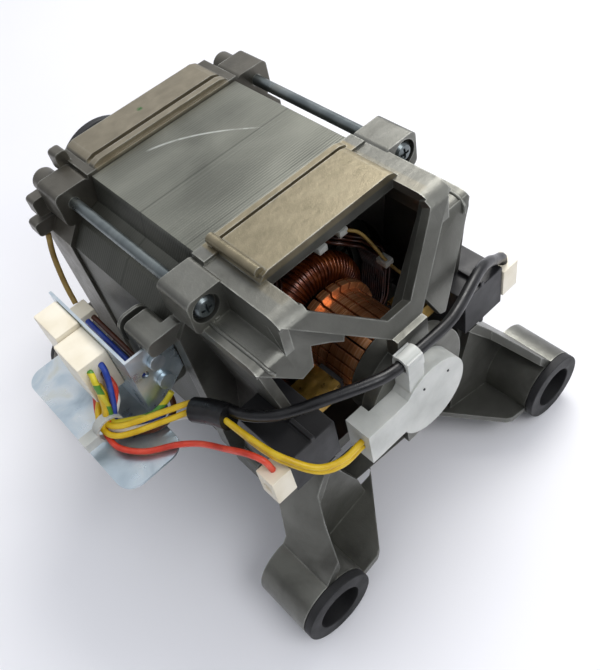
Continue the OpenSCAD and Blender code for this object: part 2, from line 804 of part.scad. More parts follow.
module rotor_core() {
    slot_w = 3;
    slot_depth = 11;
    color("gray")
        placed()
            difference() {
                ring_y(rotor_r, core_seat_r + press_gap, rotor_front_y, rotor_rear_y);
                for (i = [0:rotor_slots - 1])
                    rotate([0, 360 / rotor_slots * i, 0])
                        block([-slot_w / 2, rotor_front_y - 1, rotor_r - slot_depth],
                              [slot_w / 2, rotor_rear_y + 1, rotor_r + 1]);
            }
}

// Armature end winding: one strand curled round a plain core
wind_y = rotor_front_y - end_wind_b - arm_wire_d / 2 - seat_gap;
wind_steps = 8;
function wind_point(i) =
    let (turn = 360 * i / wind_steps, deg = (360 - 360 / arm_curls) * i / (wind_steps * arm_curls),
         r = end_wind_r + end_wind_a * cos(turn))
    [r * cos(deg), wind_y + end_wind_b * sin(turn), r * sin(deg)];
wind_route = [for (i = [0:wind_steps * arm_curls]) wind_point(i)];
wind_refs = [for (q = wind_route) unit([-q[2], 0, q[0]])];
echo(armature_gap = strand_gap(wind_route, 4, arm_wire_d));

module rotor_winding_front() {
    color("sienna")
        placed() {
            swept_tube(wind_route, wind_refs, arm_wire_d / 2, 6);
            translate([0, wind_y, 0])
                rotate([90, 0, 0])
                    rotate_extrude()
                        translate([end_wind_r - 4.4, -4])
                            square([8.8, 8]);
        }
}

module rotor_winding_rear() {
    color("sienna")
        placed()
            translate([0, rotor_rear_y + seat_gap, 0])
                rotate([-90, 0, 0])
                    rotate_extrude()
                        polygon([[11, 0], [29, 0], [29, 8], [25, 13], [15, 13], [11, 8]]);
}

module commutator_bars() {
    color("peru")
        placed()
            for (i = [0:bar_count - 1])
                translate([0, comm_rear_y, 0])
                    rotate([90, 360 / bar_count * i, 0])
                        rotate_extrude(angle = 360 / bar_count - bar_gap_deg)
                            polygon([[bar_in_r, 0], [riser_r, 0], [riser_r, riser_len], [comm_r, riser_len],
                                     [comm_r, comm_len], [bar_in_r, comm_len]]);
}

module commutator_hub() {
    color("black")
        placed()
            ring_y(bar_in_r - press_gap, shaft_r + press_gap, comm_front_y - 1, comm_rear_y + 1.5);
}

// Poly-V pulley pressed on the shaft
rib_pitch = 2.34;
rib_depth = 2.1;
pulley_front_y = shaft_tip_y - stub_len - groove_w / 2 - pulley_w;
rib_start = (pulley_w - rib_count * rib_pitch) / 2;

module pulley() {
    groove = [for (i = [0:rib_count - 1]) each [[pulley_r, rib_start + i * rib_pitch],
              [pulley_r - rib_depth, rib_start + (i + 0.5) * rib_pitch]]];
    color("black")
        placed()
            translate([0, pulley_front_y, 0])
                rotate([-90, 0, 0])
                    difference() {
                        rotate_extrude()
                            polygon(concat([[shaft_r + press_gap, 0], [pulley_r + 1.5, 0],
                                            [pulley_r + 1.5, 2]], groove,
                                           [[pulley_r, pulley_w - rib_start], [pulley_r, pulley_w],
                                            [shaft_r + press_gap, pulley_w]]));
                        rotate_extrude()
                            translate([shaft_r + 5, pulley_w - 8])
                                square([pulley_r - shaft_r - 10, 9]);
                    }
}

module tacho_magnet() {
    color("darkslategray")
        placed()
            ring_y(magnet_r, shaft_r + press_gap, shaft_front_y, shaft_front_y + magnet_len);
}

module tacho_coil() {
    color("orangered")
        placed()
            ring_y(tacho_r - tacho_wall - seat_gap, magnet_r + 1.2, tacho_cavity_y + seat_gap, hub_front_y);
}

module tacho_cover() {
    color("whitesmoke")
        placed()
            difference() {
                union() {
                    rod_y(tacho_r, tacho_front_y, hub_front_y);
                    block([-tacho_box_x, tacho_front_y, box_low_z], [-8, hub_front_y, box_top_z]);
                    block([-tacho_box_x, tacho_front_y, box_low_z], [-hub_plate_r - 0.5,
                                                                     hub_front_y + 4, box_top_z]);
                    block([clip_x - 4, clip_y - 3.6, 10], [clip_x + 4, hub_front_y,
                                                           clip_z - cable_d / 2 - seat_gap]);
                    for (y = [clip_y - cable_d / 2 - 1.4, clip_y + cable_d / 2 + 0.5])
                        block([clip_x - 4, y, 20], [clip_x + 4, y + 0.9, clip_z + 3]);
                }
                rod_y(tacho_r - tacho_wall, tacho_cavity_y, hub_front_y + 1);
                block([-tacho_box_x + tacho_wall, tacho_cavity_y, box_low_z + tacho_wall],
                      [-10, hub_front_y + 1, box_top_z - tacho_wall]);
            }
}

// Carbon brush with its end ground to the commutator
module brush() {
    color("dimgray")
        placed()
            difference() {
                block([comm_r * 0.9, brush_y - brush_w / 2, -brush_t / 2], [brush_out_x,
                        brush_y + brush_w / 2, brush_t / 2]);
                rod_y(brush_in_x, brush_y - brush_w, brush_y + brush_w);
            }
}

module brush_guide() {
    color("goldenrod")
        placed()
            difference() {
                block([guide_in_x, brush_y - guide_half_y - guide_wall, -guide_half_z - guide_wall],
                      [holder_out_x - holder_cap, brush_y + guide_half_y + guide_wall,
                       guide_half_z + guide_wall]);
                block([guide_in_x - 1, brush_y - guide_half_y, -guide_half_z],
                      [holder_out_x, brush_y + guide_half_y, guide_half_z]);
            }
}

module brush_holder() {
    color("black")
        placed()
            difference() {
                union() {
                    block([holder_in_x, holder_front_y, -holder_half_z], [holder_out_x, holder_rear_y,
                            holder_half_z]);
                    block([side_x + 1, holder_front_y, -holder_half_z - 2], [side_x + 3,
                            rail_front_y + 1.5, holder_half_z + 2]);
                }
                block([holder_in_x - 1, brush_y - guide_half_y - guide_wall, -guide_half_z - guide_wall],
                      [holder_out_x - holder_cap, brush_y + guide_half_y + guide_wall,
                       guide_half_z + guide_wall]);
            }
}

spring_start_x = brush_out_x + spring_d / 2 + 0.1;
spring_end_x = holder_out_x - holder_cap - spring_d / 2 - 0.1;
spring_steps = 8;
spring_route = [for (i = [0:spring_steps * spring_curls])
    [spring_start_x + (spring_end_x - spring_start_x) * i / (spring_steps * spring_curls),
     brush_y + spring_r * cos(360 * i / spring_steps), spring_r * sin(360 * i / spring_steps)]];
echo(brush_spring_gap = strand_gap(spring_route, 4, spring_d));

module brush_spring() {
    color("gainsboro")
        placed()
            swept_tube(spring_route, [for (q = spring_route) [1, 0, 0]], spring_d / 2, 6);
}

// Plug housing on the end of a brush lead
module terminal() {
    color("cornsilk")
        placed()
            difference() {
                block([holder_out_x, terminal_y - terminal_half, terminal_low_z],
                      [holder_out_x + 2 * terminal_half, terminal_y + terminal_half, terminal_top_z]);
                block([holder_out_x + 2 * terminal_half - 1, terminal_y - 2, -2],
                      [holder_out_x + 2 * terminal_half + 1, terminal_y + 2, 3]);
            }
}

module brush_right() { brush(); }
module brush_left() { mirror([1, 0, 0]) brush(); }
module brush_guide_right() { brush_guide(); }
module brush_guide_left() { mirror([1, 0, 0]) brush_guide(); }
module brush_holder_right() { brush_holder(); }
module brush_holder_left() { mirror([1, 0, 0]) brush_holder(); }
module brush_spring_right() { brush_spring(); }
module brush_spring_left() { mirror([1, 0, 0]) brush_spring(); }
module terminal_right() { terminal(); }
module terminal_left() { mirror([1, 0, 0]) terminal(); }

// Rounded rectangle from low to high
module rounded(low, high, r) {
    translate([low[0] + r, low[1]])
        square([high[0] - low[0] - 2 * r, high[1] - low[1]]);
    translate([low[0], low[1] + r])
        square([high[0] - low[0], high[1] - low[1] - 2 * r]);
    for (x = [low[0] + r, high[0] - r], y = [low[1] + r, high[1] - r])
        translate([x, y])
            circle(r);
}

// Folded sheet bracket: web, screwed front flange and drip plate
module connector_bracket() {
    color("lightsteelblue")
        placed()
            difference() {
                union() {
                    block([-web_x - sheet_t, flange_y, -sheet_t], [-web_x, web_rear_y, web_top_z]);
                    along_y(flange_y, flange_y + sheet_t)
                        polygon([[-web_x - sheet_t, flange_low_z], [-web_x - sheet_t, web_top_z],
                                 [-core_half_w - 1.5, web_top_z], [-core_half_w - 1.5, flange_low_z + 10.5],
                                 [-web_x + 6, flange_low_z]]);
                    translate([0, 0, -sheet_t])
                        linear_extrude(sheet_t)
                            rounded([-plate_x, plate_front_y], [-web_x, plate_rear_y], plate_corner_r);
                }
                for (z = screw_z_list)
                    translate([-screw_x, 0, z])
                        rod_y(screw_r + screw_gap, flange_y - 1, flange_y + sheet_t + 1);
                translate([-web_x + 4, 0, 27])
                    rod_y(1.6, flange_y - 1, flange_y + sheet_t + 1);
            }
}

module connector_block(low_y, high_y, out_x, low_z, high_z) {
    color("cornsilk")
        placed()
            difference() {
                block([-out_x, low_y, low_z], [-web_x - sheet_t, high_y, high_z]);
                block([-out_x + 1.5, low_y + 1.5, low_z - 1], [-web_x - sheet_t - 1.5, high_y - 1.5,
                                                               low_z + 4]);
            }
}

module connector_front() { connector_block(102, 121, 96.5, 14, 36); }
module connector_rear() { connector_block(121.3, 140, 94, 16, 38); }

module bracket_screws() {
    color("gainsboro")
        placed()
            for (z = screw_z_list)
                translate([-screw_x, 0, z]) {
                    rod_y(screw_r, flange_y - 1, ear_back_y - 1);
                    rod_y(screw_head_r, flange_y - 2.4, flange_y);
                }
}

// Nylon tie round the harness
module cable_tie() {
    color("white")
        placed()
            translate(tie_at) {
                ring_y(tie_r, tie_r - 1.1, -2, 2);
                block([-tie_r - 6, -2.6, -2.4], [-tie_r + 0.6, 2.6, 2.4]);
            }
}

// Tape sleeve where the brush cable joins the harness
module cable_sleeve() {
    color("black")
        placed()
            swept_tube(route_sleeve, carried(route_sleeve, 0, [1, 0, 0]), sleeve_r, 12);
}

module lead_terminal() {
    color("white")
        placed()
            translate([-72, 158.3, 5.5])
                cube([8, 10, 6], center = true);
}

module wire_yellow_a() { cord(route_yellow_a, wire_d, "gold"); }
module wire_yellow_b() { cord(route_yellow_b, wire_d, "gold"); }
module wire_white() { cord(route_white, wire_d, "white"); }
module wire_red() { cord(route_red, wire_d, "red"); }
module wire_blue() { cord(route_blue, wire_d, "mediumblue"); }
module wire_earth() { cord(route_earth, wire_d, "yellowgreen"); }
module wire_brown() { cord(route_brown, wire_d, "saddlebrown"); }
module wire_lead() { cord(route_lead, wire_d, "tan"); }
module cable_black() { cord(route_cable, cable_d, "black"); }

stator_core();
field_coil_left();
field_coil_right();
front_shield();
rear_shield();
tie_bolts();
foot_bush_front_left();
foot_bush_front_right();
foot_bush_rear_left();
foot_bush_rear_right();
front_bearing_outer();
rear_bearing_outer();
front_bearing_inner();
rear_bearing_inner();
rotor_shaft();
rotor_core();
rotor_winding_front();
rotor_winding_rear();
commutator_bars();
commutator_hub();
pulley();
tacho_magnet();
tacho_coil();
tacho_cover();
brush_holder_left();
brush_holder_right();
brush_guide_left();
brush_guide_right();
brush_spring_left();
brush_spring_right();
brush_left();
brush_right();
terminal_left();
terminal_right();
connector_bracket();
connector_front();
connector_rear();
bracket_screws();
cable_tie();
cable_sleeve();
lead_terminal();
wire_yellow_a();
wire_yellow_b();
wire_white();
wire_red();
wire_blue();
wire_earth();
wire_brown();
wire_lead();
cable_black();
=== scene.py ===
"""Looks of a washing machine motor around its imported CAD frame, in metres."""
import json
import math

import bmesh
import bpy
from mathutils import Matrix, Vector


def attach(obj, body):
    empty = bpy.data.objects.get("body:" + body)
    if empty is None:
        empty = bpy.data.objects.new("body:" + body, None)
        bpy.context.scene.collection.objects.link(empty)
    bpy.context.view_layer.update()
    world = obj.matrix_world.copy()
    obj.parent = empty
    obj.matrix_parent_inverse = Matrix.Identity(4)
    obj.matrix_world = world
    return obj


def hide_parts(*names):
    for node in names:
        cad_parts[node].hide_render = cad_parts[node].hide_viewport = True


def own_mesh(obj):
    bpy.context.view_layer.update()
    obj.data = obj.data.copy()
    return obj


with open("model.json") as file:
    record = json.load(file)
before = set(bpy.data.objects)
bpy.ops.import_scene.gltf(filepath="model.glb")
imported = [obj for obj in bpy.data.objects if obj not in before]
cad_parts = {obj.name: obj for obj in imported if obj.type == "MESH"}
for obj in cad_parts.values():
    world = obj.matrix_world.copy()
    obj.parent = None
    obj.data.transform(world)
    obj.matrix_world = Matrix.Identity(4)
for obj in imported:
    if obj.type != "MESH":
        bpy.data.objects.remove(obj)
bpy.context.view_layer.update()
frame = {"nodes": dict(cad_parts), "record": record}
nodes = frame["nodes"]
scene = bpy.context.scene
SLOT = {part["node"]: part["material_slot"] for part in frame["record"]["subparts"]}
BODY = {node: body for body, members in frame["record"]["behaviour"]["bodies"].items() for node in members}

# Sizes are in mm. Y is measured from the front of the feet, X and Z from the shaft's axis.
MM = 0.001
TIP_Y = 256            # end of the shaft
FLOOR_Z = -85.8        # underside of the foot lugs
BRUSH_Y = 47           # middle of the brushes
CORE_MID_Y = 122       # middle of the stator
CORE_SIDE_Z = 62       # painted shade darkens the stator's sides below this
CORE_TOP_Z = 64.6      # just under the stator's flat top
BAND_HALF = 36         # half the width of the shields' top bands
HANDS = ((-1, "left"), (1, "right"))


def row_y(y):
    """A place along the motor, in the row frame."""
    return (y - TIP_Y) * MM


def at(x, y, z):
    """A point of the motor, in the row frame."""
    return Vector((x, y - TIP_Y, z)) * MM


def linear(code):
    """Scene colour of a six-digit display colour."""
    parts = [int(code[i:i + 2], 16) / 255 for i in (0, 2, 4)]
    return [c / 12.92 if c <= 0.04045 else ((c + 0.055) / 1.055) ** 2.4 for c in parts] + [1.0]


# Materials

RUB_R = 1.1                  # how far from an edge the edge mask reaches: rubbed wear, on castings also painted highlight
RUB_TURN = (0.86, 0.985)     # cosine between the rounded normal and the face's own, at and off an edge


class Surface:
    """A node material whose textures lie in the object's own coordinates."""

    def __init__(self, name, metallic=0.0, **sockets):
        self.material = bpy.data.materials.new(name)
        self.material.use_nodes = True
        self.tree = self.material.node_tree
        self.shader = self.tree.nodes["Principled BSDF"]
        self.shader.inputs["Metallic"].default_value = metallic
        for socket, value in sockets.items():
            self.shader.inputs[socket.replace("_", " ")].default_value = value
        self.place = self.add("ShaderNodeTexCoord").outputs["Object"]
        self.height = None

    def add(self, kind, **inputs):
        node = self.tree.nodes.new(kind)
        for name, value in inputs.items():
            self.feed(node.inputs[name.replace("_", " ")], value)
        return node

    def feed(self, socket, value):
        if isinstance(value, bpy.types.NodeSocket):
            self.tree.links.new(value, socket)
        else:
            socket.default_value = value

    def noise(self, scale, detail=4.0, stretch=None, warp=0.0):
        place = self.place
        if stretch:
            place = self.add("ShaderNodeMapping", Vector=place, Scale=stretch).outputs[0]
        node = self.add("ShaderNodeTexNoise", Vector=place, Scale=scale, Detail=detail, Distortion=warp)
        return node.outputs["Fac"]

    def ramp(self, fac, spots, colours):
        node = self.add("ShaderNodeValToRGB", Fac=fac)
        while len(node.color_ramp.elements) < len(spots):
            node.color_ramp.elements.new(0.5)
        for element, spot, colour in zip(node.color_ramp.elements, spots, colours):
            element.position = spot
            element.color = linear(colour)
        return node.outputs["Color"]

    def span(self, value, low, high, start=0.3, end=0.7):
        """Goes from low to high while the value goes from start to end."""
        node = self.add("ShaderNodeMapRange", Value=value)
        for socket, number in (("From Min", start), ("From Max", end), ("To Min", low), ("To Max", high)):
            node.inputs[socket].default_value = number
        return node.outputs[0]

    def calc(self, operation, a, b=0.0):
        node = self.add("ShaderNodeMath")
        node.operation = operation
        self.feed(node.inputs[0], a)
        self.feed(node.inputs[1], b)
        return node.outputs[0]

    def times(self, a, b):
        return self.calc("MULTIPLY", a, b)

    def gap(self, value, place):
        """How far a value is from a place."""
        return self.calc("ABSOLUTE", self.calc("SUBTRACT", value, place))

    def axis(self, letter):
        return self.add("ShaderNodeSeparateXYZ", Vector=self.place).outputs[letter]

    def from_shaft(self):
        """Distance from the shaft's axis."""
        flat = self.add("ShaderNodeVectorMath", Vector=self.place)
        flat.operation = "MULTIPLY"
        flat.inputs[1].default_value = (1, 0, 1)
        size = self.add("ShaderNodeVectorMath", Vector=flat.outputs[0])
        size.operation = "LENGTH"
        return size.outputs["Value"]

    def spot(self, x, y, radius, soft):
        """1 within that radius of a point seen from above, fading to 0 at soft."""
        dx = self.calc("SUBTRACT", self.axis("X"), x * MM)
        dy = self.calc("SUBTRACT", self.axis("Y"), row_y(y))
        far = self.calc("SQRT", self.calc("ADD", self.times(dx, dx), self.times(dy, dy)))
        return self.span(far, 1.0, 0.0, radius * MM, soft * MM)

    def mix(self, fac, a, b):
        node = self.add("ShaderNodeMix")
        node.data_type = "RGBA"
        self.feed(node.inputs[0], fac)
        self.feed(node.inputs[6], a)
        self.feed(node.inputs[7], b)
        return node.outputs[2]

    def bump(self, height, depth):
        """Adds a relief of that depth."""
        node = self.add("ShaderNodeBump", Height=height, Distance=depth * MM, Strength=1.0)
        if self.height is not None:
            self.tree.links.new(self.height, node.inputs["Normal"])
        self.height = node.outputs["Normal"]

    def edges(self):
        """Near 1 beside edges, 0 elsewhere."""
        soft = self.add("ShaderNodeBevel", Radius=RUB_R * MM)
        soft.samples = 4
        turn = self.add("ShaderNodeVectorMath")
        turn.operation = "DOT_PRODUCT"
        self.feed(turn.inputs[0], soft.outputs[0])
        self.feed(turn.inputs[1], self.add("ShaderNodeNewGeometry").outputs["True Normal"])
        return self.span(turn.outputs["Value"], 1.0, 0.0, *RUB_TURN)

    def done(self, colour, rough):
        self.feed(self.shader.inputs["Base Color"], colour)
        self.feed(self.shader.inputs["Roughness"], rough)
        if self.height is not None:
            self.feed(self.shader.inputs["Normal"], self.height)
        return self.material


def plain_surface(name, colours, rough, metallic=0.0, blotch=40, grain=1500, depth=0.04, worn=None):
    """Mottled colour, uneven gloss and a fine grain, with paler edges where worn is a colour."""
    s = Surface(name, metallic)
    colour = s.ramp(s.noise(blotch, 6.0), (0.32, 0.52, 0.72), colours)
    if worn:
        colour = s.mix(s.times(s.edges(), 0.7), colour, linear(worn))
    s.bump(s.noise(grain, 3.0), depth)
    return s.done(colour, s.span(s.noise(blotch * 2.7, 5.0), *rough))


INSIDE_SHADE_R = (46, 60)      # painted shade inside the shields thins out between these distances from the shaft
DAB_R = (0.8, 1.8)     # full and faded radius of the paint dab


def casting(name, colours, band, band_z, mouth_y, paint=None):
    """Die-cast alloy with flow marks, pits, rubbed edges lightened partly as painted highlight, and a painted
    warm reflection on the top band above band_z.

    Painted shade darkens the inside from mouth_y on, and a dab of green paint where paint is a place.
    """
    s = Surface(name, 0.78)
    cloud = s.noise(26, 7.0, warp=0.6)
    base = s.ramp(cloud, (0.30, 0.5, 0.72), colours)
    flow = s.noise(140, 5.0, (1, 1.6, 1), 0.4)
    # painted warm reflection: the top band gets a warmer, lighter colour as if it mirrored warm surroundings
    painted_warm_reflection = s.ramp(flow, (0.3, 0.55, 0.75), band)
    high = s.span(s.axis("Z"), 0.0, 1.0, (band_z - 0.6) * MM, (band_z + 0.2) * MM)
    across = s.calc("ABSOLUTE", s.axis("X"))
    top = s.times(high, s.span(across, 1.0, 0.0, BAND_HALF * MM, (BAND_HALF + 1) * MM))
    colour = s.mix(top, base, painted_warm_reflection)
    grime = s.span(s.noise(46, 6.0, warp=0.4), 0.0, 0.5, 0.54, 0.78)
    grime = s.times(grime, s.span(top, 1.0, 0.25, 0.0, 1.0))
    colour = s.mix(grime, colour, linear("2b2925"))
    # edges lightened towards bcbdb6: partly real rubbed wear, partly a painted edge highlight
    edge_wear_and_highlight = s.times(s.edges(), s.span(s.noise(90, 5.0), 0.1, 0.8, 0.35, 0.65))
    colour = s.mix(edge_wear_and_highlight, colour, linear("bcbdb6"))
    # painted shade: the inside of the shield near the shaft and behind its mouth is darkened to 1a1411 and
    # made rougher
    near = s.span(s.from_shaft(), 1.0, 0.0, INSIDE_SHADE_R[0] * MM, INSIDE_SHADE_R[1] * MM)
    behind = s.span(s.axis("Y"), 0.0, 1.0, row_y(mouth_y - 2), row_y(mouth_y + 4))
    inside_shade = s.times(s.times(near, behind), s.span(cloud, 0.88, 0.98))
    colour = s.mix(inside_shade, colour, linear("1a1411"))
    if paint:
        dab = s.times(s.spot(*paint, *DAB_R), s.span(s.noise(900, 3.0), 0.4, 1.0, 0.4, 0.55))
        colour = s.mix(s.times(dab, top), colour, linear("3f6b3a"))
    s.bump(s.noise(420, 4.0), 0.10)
    s.bump(s.noise(2600, 2.0), 0.04)
    return s.done(colour, s.calc("ADD", s.span(flow, 0.33, 0.44), s.times(inside_shade, 0.35)))


SHEET_T = 0.65                          # thickness of one sheet
SEAMS = ((121.9, 0.5), (92.0, 0.3))     # place and strength of the joint lines
SEAM_HALF = (0.15, 0.5)                 # full and faded half width of a joint line
SCUFF_CREST = (-25, 152.6)              # furthest point of the curve that the scuff lies on
SCUFF_BEND = 12.9                       # how fast the curve drops, per metre
SCUFF_MID_X = 4.1
SCUFF_HALF_LEN = (16.5, 20.5)
SCUFF_HALF_W = (0.3, 0.9)


def top_scuff(s):
    """1 along the long curved scuff on the stator's top."""
    x = s.axis("X")
    crest_x, crest_y = SCUFF_CREST
    away = s.calc("SUBTRACT", x, crest_x * MM)
    curve = s.calc("SUBTRACT", row_y(crest_y), s.times(s.times(away, away), SCUFF_BEND))
    line = s.span(s.gap(s.axis("Y"), curve), 1.0, 0.0, *(w * MM for w in SCUFF_HALF_W))
    reach = s.span(s.gap(x, SCUFF_MID_X * MM), 1.0, 0.0, *(w * MM for w in SCUFF_HALF_LEN))
    patchy = s.span(s.noise(260, 4.0), 0.35, 0.95, 0.35, 0.55)
    return s.times(s.times(line, reach), patchy)


def laminations():
    """Stacked sheet edges with painted shade on the sides, two faint joint lines and a scuff on the flat top.
    """
    s = Surface("lamination", 0.75)
    sheet = s.add("ShaderNodeTexWave", Vector=s.place, Scale=math.pi / (20 * SHEET_T * MM),
                  Distortion=0.6, Detail=2.0)
    sheet.bands_direction = "Y"
    cloud = s.noise(24, 7.0, (1, 1.6, 1), 0.5)
    base = s.ramp(cloud, (0.30, 0.5, 0.72), ("62635b", "75766d", "88897f"))
    streak = s.noise(300, 3.0, (0.04, 6, 0.04))
    base = s.mix(s.span(streak, 0.0, 0.3, 0.45, 0.7), base, linear("85867d"))
    base = s.mix(s.times(sheet.outputs["Fac"], 0.14), base, linear("383934"))
    # painted shade on the stator's sides, below its flat top
    base = s.mix(s.span(s.axis("Z"), 0.55, 0.0, CORE_SIDE_Z * MM, CORE_TOP_Z * MM), base, linear("2e2e2b"))
    base = s.mix(top_scuff(s), base, linear("b4b6b0"))
    for seam_y, strength in SEAMS:
        off = s.gap(s.axis("Y"), row_y(seam_y))
        base = s.mix(s.span(off, strength, 0.0, *(w * MM for w in SEAM_HALF)), base, linear("2c2d29"))
    s.bump(sheet.outputs["Fac"], 0.05)
    s.bump(s.noise(900, 3.0), 0.04)
    return s.done(base, s.span(cloud, 0.36, 0.5))


def zinc_plate(name, colours):
    """Zinc with a faint blue and yellow passivation."""
    s = Surface(name, 0.9)
    colour = s.ramp(s.noise(55, 6.0, warp=0.8), (0.28, 0.48, 0.62, 0.8), colours)
    return s.done(colour, s.span(s.noise(140, 5.0), 0.24, 0.42))


TRACK_HALF = (4, 7.5)      # full and faded half width of the brush track


def turned_copper():
    """Commutator copper with turning rings and a darker brush track."""
    s = Surface("copper", 0.82)
    rings = s.noise(60, 2.0, (0.3, 30, 0.3))
    colour = s.ramp(rings, (0.3, 0.5, 0.72), ("c77a48", "e39a66", "f9c9a0"))
    track = s.span(s.gap(s.axis("Y"), row_y(BRUSH_Y)), 0.6, 0.0, *(w * MM for w in TRACK_HALF))
    colour = s.mix(track, colour, linear("8a4f2e"))
    s.bump(rings, 0.02)
    return s.done(colour, s.span(rings, 0.26, 0.42))


def insulation(name, colours, rough=(0.28, 0.45), stripe=None):
    """Soft wire covering with slight dulling, and a slanting stripe where one is given."""
    s = Surface(name, 0.0, Specular_IOR_Level=0.45)
    colour = s.ramp(s.noise(120, 4.0), (0.3, 0.5, 0.7), colours)
    if stripe:
        band = s.add("ShaderNodeTexWave", Vector=s.place, Scale=40.0, Distortion=1.5)
        band.bands_direction = "DIAGONAL"
        colour = s.mix(s.span(band.outputs["Fac"], 0.0, 1.0, 0.55, 0.62), colour, linear(stripe))
    s.bump(s.noise(1800, 2.0), 0.03)
    return s.done(colour, s.span(s.noise(300, 4.0), *rough))


def enamel(name, colours):
    """Varnished copper wire: amber coat over brown copper."""
    s = Surface(name, 0.65, Coat_Weight=0.5, Coat_Roughness=0.2)
    colour = s.ramp(s.noise(180, 5.0), (0.3, 0.5, 0.72), colours)
    s.bump(s.noise(2200, 2.0), 0.04)
    return s.done(colour, s.span(s.noise(240, 4.0), 0.25, 0.5))


def nylon(name, colours):
    """Milky natural nylon."""
    s = Surface(name, 0.0, Subsurface_Weight=0.35, Subsurface_Scale=0.003, Specular_IOR_Level=0.4)
    s.shader.inputs["Subsurface Radius"].default_value = (1.0, 0.95, 0.85)
    colour = s.ramp(s.noise(60, 5.0), (0.3, 0.5, 0.7), colours)
    s.bump(s.noise(700, 3.0), 0.05)
    return s.done(colour, s.span(s.noise(200, 4.0), 0.3, 0.46))


PLAIN = {
    "rubber": dict(colours=("0e0e10", "161618", "212123"), rough=(0.5, 0.72), grain=1100, depth=0.08),
    "bearing_steel": dict(colours=("7c7e80", "94979a", "aeb1b3"), rough=(0.18, 0.3), metallic=1.0,
                          grain=2500),
    "shaft_steel": dict(colours=("7a7b7b", "969898", "b0b2b2"), rough=(0.2, 0.36), metallic=1.0, blotch=70),
    "phenolic": dict(colours=("141416", "1d1d20", "2a2a2d"), rough=(0.38, 0.55), grain=1300, worn="3d3d40"),
    "pulley_black": dict(colours=("0d0d0f", "151517", "232325"), rough=(0.3, 0.5), worn="3a3a3c"),
    "ferrite": dict(colours=("2a2a2c", "36363a", "444448"), rough=(0.5, 0.7)),
    "brass": dict(colours=("8f7230", "b3914a", "cfae68"), rough=(0.25, 0.42), metallic=1.0, blotch=120),
    "spring_steel": dict(colours=("6b6d70", "8b8e91", "b0b3b5"), rough=(0.2, 0.35), metallic=1.0, blotch=300),
    "carbon": dict(colours=("1c1c1e", "29292b", "3a3a3c"), rough=(0.42, 0.6), metallic=0.2, grain=2200,
                   depth=0.08),
    "cream_plastic": dict(colours=("e4dac2", "efe7d3", "f6f0e0"), rough=(0.28, 0.42), blotch=60, grain=800),
}
ENAMEL = {
    "field_winding": ("1e0b05", "34150a", "552611"),
    "armature_winding": ("401a0a", "6b3013", "944f20"),
    "tacho_winding": ("8a3d18", "b05524", "cc7438"),
}
COVERING = {
    "wire_yellow": dict(colours=("c49c10", "dbb61c", "e8c83c")),
    "wire_white": dict(colours=("d5d4ce", "e6e5e0", "f2f1ec")),
    "wire_red": dict(colours=("b52f20", "d8432f", "e65a42")),
    "wire_blue": dict(colours=("1a2a78", "24409c", "3a58b4")),
    "wire_earth": dict(colours=("bfae1c", "d2c22c", "dfd04a"), stripe="4e8a2c"),
    "wire_brown": dict(colours=("3a1d10", "4d2817", "64371f")),
    "wire_lead": dict(colours=("7a6230", "93793f", "ad9254"), rough=(0.5, 0.7)),
    "black_sleeve": dict(colours=("0b0b0c", "141416", "202022"), rough=(0.25, 0.42)),
}
LOOK = {
    # the second colours of each casting are the painted warm reflection on its top band
    "front_casting": casting("front_casting", ("5a5a54", "6d6d67", "80807a"), ("807862", "887f69", "908871"),
                             band_z=65.4, mouth_y=36),
    "rear_casting": casting("rear_casting", ("504d46", "625f57", "736f67"), ("857d6b", "8c8472", "948c7a"),
                            band_z=65.5, mouth_y=161, paint=(-1.7, 174.5)),
    "lamination": laminations(),
    "zinc_steel": zinc_plate("zinc", ("a9b8c2", "c3d0d8", "d6dde0", "cfcdb8")),
    "bolt_zinc": zinc_plate("bolt_zinc", ("5d6466", "6f7677", "808686", "7d7b70")),
    "copper": turned_copper(),
    "nylon_white": nylon("nylon_white", ("b4b6b1", "c4c6c1", "d2d3ce")),
    **{name: plain_surface(name, **look) for name, look in PLAIN.items()},
    **{name: enamel(name, colours) for name, colours in ENAMEL.items()},
    **{name: insulation(name, **look) for name, look in COVERING.items()},
}


# Making pieces

SHARP = math.radians(32)          # edges that turn more than this are shaded sharp
ROUND_FROM = math.radians(30)     # edges that turn more than this are rounded
FLAT = math.radians(0.6)          # faces that turn less than this are joined
WELD = 0.004


def new_object(name, data):
    obj = bpy.data.objects.new(name, data)
    scene.collection.objects.link(obj)
    return obj


def finish_piece(obj, body, slot, stands_for=None, look=None):
    """Gives a piece its body and the slot's look or another one, and hides the node it stands for."""
    obj.data.materials.clear()
    obj.data.materials.append(LOOK[look or slot])
    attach(obj, body)
    if stands_for:
        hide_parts(stands_for)
    return obj


def shaded_mesh(name, bm):
    """A mesh of the bmesh, smooth with sharp edges."""
    mesh = bpy.data.meshes.new(name)
    bm.to_mesh(mesh)
    bm.free()
    if "custom_normal" in mesh.attributes:
        mesh.attributes.remove(mesh.attributes["custom_normal"])
    mesh.polygons.foreach_set("use_smooth", [True] * len(mesh.polygons))
    mesh.set_sharp_from_angle(angle=SHARP)
    return mesh


def mesh_piece(name, bm, body, slot):
    finish_piece(new_object(name, shaded_mesh(name, bm)), body, slot)


def cleaned(node):
    """The CAD node's faces in a bmesh, welded, with flat areas joined."""
    bm = bmesh.new()
    bm.from_mesh(nodes[node].data)
    bmesh.ops.remove_doubles(bm, verts=bm.verts, dist=WELD * MM)
    bmesh.ops.dissolve_limit(bm, angle_limit=FLAT, verts=bm.verts, edges=bm.edges)
    for layer in list(bm.loops.layers.uv):
        bm.loops.layers.uv.remove(layer)
    return bm


